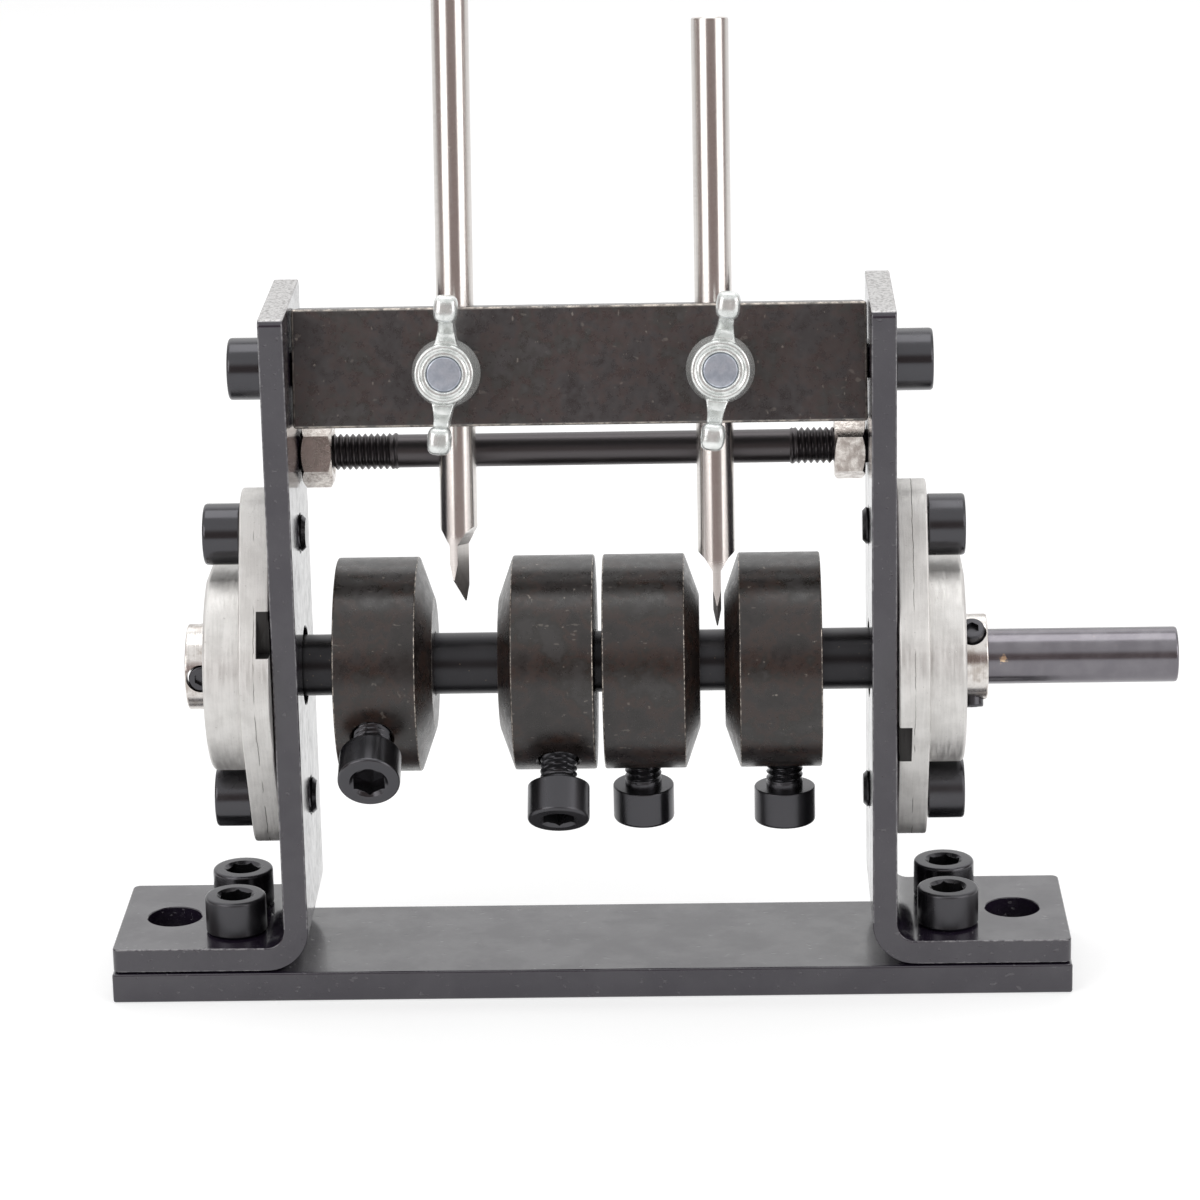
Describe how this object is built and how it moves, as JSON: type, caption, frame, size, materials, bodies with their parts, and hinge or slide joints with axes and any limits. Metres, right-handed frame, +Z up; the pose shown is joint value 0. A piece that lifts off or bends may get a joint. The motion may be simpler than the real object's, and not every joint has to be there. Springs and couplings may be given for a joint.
{
  "type": "hand crank wire stripper",
  "caption": "Bench wire stripper: bent-plate frame, tilting bar with two clamped rod blades, and grooved rollers on a shaft in flanged bearings.",
  "frame": {"origin": "centre of the base plate's underside, on the bench", "axes": "+X along the shaft to its long drive end, +Y away from the operator, +Z up"},
  "size_m": [0.1745, 0.045, 0.1615],
  "materials": {
    "satin_black_paint": "satin",
    "blackened_steel": "mottled black, satin",
    "black_oxide": "semi-gloss black",
    "cast_zinc": "fine cast, satin",
    "ground_steel": "bright ground",
    "zinc_plated_steel": "zinc plated",
    "seal_rubber": "matte"
  },
  "bodies": {
    "frame": {"base_plate": "satin_black_paint", "tie_rod": "black_oxide", "left_bracket": "satin_black_paint", "left_front_foot_screw": "black_oxide", "left_rear_foot_screw": "black_oxide", "left_bar_screw": "black_oxide", "left_tie_nut": "zinc_plated_steel", "left_bearing_housing": "cast_zinc", "left_outer_ring": "ground_steel", "left_inner_seal": "seal_rubber", "left_outer_seal": "seal_rubber", "left_upper_flange_screw": "black_oxide", "left_lower_flange_screw": "black_oxide", "right_bracket": "satin_black_paint", "right_front_foot_screw": "black_oxide", "right_rear_foot_screw": "black_oxide", "right_bar_screw": "black_oxide", "right_tie_nut": "zinc_plated_steel", "right_bearing_housing": "cast_zinc", "right_outer_ring": "ground_steel", "right_inner_seal": "seal_rubber", "right_outer_seal": "seal_rubber", "right_upper_flange_screw": "black_oxide", "right_lower_flange_screw": "black_oxide"},
    "shaft": {"drive_shaft": "blackened_steel", "left_inner_ring": "ground_steel", "left_grub_screw_1": "black_oxide", "left_grub_screw_2": "black_oxide", "right_inner_ring": "ground_steel", "right_grub_screw_1": "black_oxide", "right_grub_screw_2": "black_oxide"},
    "left_cage": {"left_ball_cage": "ground_steel"},
    "right_cage": {"right_ball_cage": "ground_steel"},
    "roller_1": {"roller_1": "blackened_steel", "roller_screw_1": "black_oxide"},
    "roller_2": {"roller_2": "blackened_steel", "roller_screw_2": "black_oxide"},
    "roller_3": {"roller_3": "blackened_steel", "roller_screw_3": "black_oxide"},
    "roller_4": {"roller_4": "blackened_steel", "roller_screw_4": "black_oxide"},
    "bar": {"crossbar": "blackened_steel"},
    "left_blade": {"left_blade": "ground_steel"},
    "left_clamp": {"left_clamp_stud": "zinc_plated_steel"},
    "left_wing": {"left_wing_head": "zinc_plated_steel"},
    "right_blade": {"right_blade": "ground_steel"},
    "right_clamp": {"right_clamp_stud": "zinc_plated_steel"},
    "right_wing": {"right_wing_head": "zinc_plated_steel"}
  },
  "joints": [
    {"name": "shaft_spin", "type": "hinge", "parent": "frame", "child": "shaft", "pos_m": [0, 0, 0.053], "axis": [1, 0, 0], "continuous": true},
    {"name": "left_cage_spin", "type": "hinge", "parent": "frame", "child": "left_cage", "pos_m": [-0.0552, 0, 0.053], "axis": [1, 0, 0], "continuous": true},
    {"name": "right_cage_spin", "type": "hinge", "parent": "frame", "child": "right_cage", "pos_m": [0.0552, 0, 0.053], "axis": [1, 0, 0], "continuous": true},
    {"name": "roller_1_shift", "type": "slide", "parent": "shaft", "child": "roller_1", "axis": [1, 0, 0], "range_m": [-0.0035, 0.001]},
    {"name": "roller_2_shift", "type": "slide", "parent": "shaft", "child": "roller_2", "axis": [1, 0, 0], "range_m": [-0.0015, 0.0005]},
    {"name": "roller_3_shift", "type": "slide", "parent": "shaft", "child": "roller_3", "axis": [1, 0, 0], "range_m": [-0.0005, 0.0018]},
    {"name": "roller_4_shift", "type": "slide", "parent": "shaft", "child": "roller_4", "axis": [1, 0, 0], "range_m": [0, 0.005]},
    {"name": "bar_tilt", "type": "hinge", "parent": "frame", "child": "bar", "pos_m": [0, 0, 0.103], "axis": [1, 0, 0], "range_deg": [-13, 15]},
    {"name": "left_blade_slide", "type": "slide", "parent": "bar", "child": "left_blade", "axis": [0, 0.2079, 0.9781], "range_m": [-0.0055, 0.021]},
    {"name": "right_blade_slide", "type": "slide", "parent": "bar", "child": "right_blade", "axis": [0, 0.2079, 0.9781], "range_m": [-0.001, 0.026]},
    {"name": "left_clamp_feed", "type": "slide", "parent": "bar", "child": "left_clamp", "axis": [0, -0.9781, 0.2079], "range_m": [0, 0.0015]},
    {"name": "left_wing_turn", "type": "hinge", "parent": "left_clamp", "child": "left_wing", "pos_m": [-0.0209, -0.00848, 0.10398], "axis": [0, -0.9781, 0.2079], "range_deg": [0, 540]},
    {"name": "right_clamp_feed", "type": "slide", "parent": "bar", "child": "right_clamp", "axis": [0, -0.9781, 0.2079], "range_m": [0, 0.0015]},
    {"name": "right_wing_turn", "type": "hinge", "parent": "right_clamp", "child": "right_wing", "pos_m": [0.0224, -0.00848, 0.10398], "axis": [0, -0.9781, 0.2079], "range_deg": [0, 540]}
  ],
  "couplings": [
    {"joint": "left_cage_spin", "follows": "shaft_spin", "ratio": 0.3689},
    {"joint": "left_clamp_feed", "follows": "left_wing_turn", "m_per_rad": 0.00015915},
    {"joint": "right_cage_spin", "follows": "shaft_spin", "ratio": 0.3689},
    {"joint": "right_clamp_feed", "follows": "right_wing_turn", "m_per_rad": 0.00015915}
  ]
}
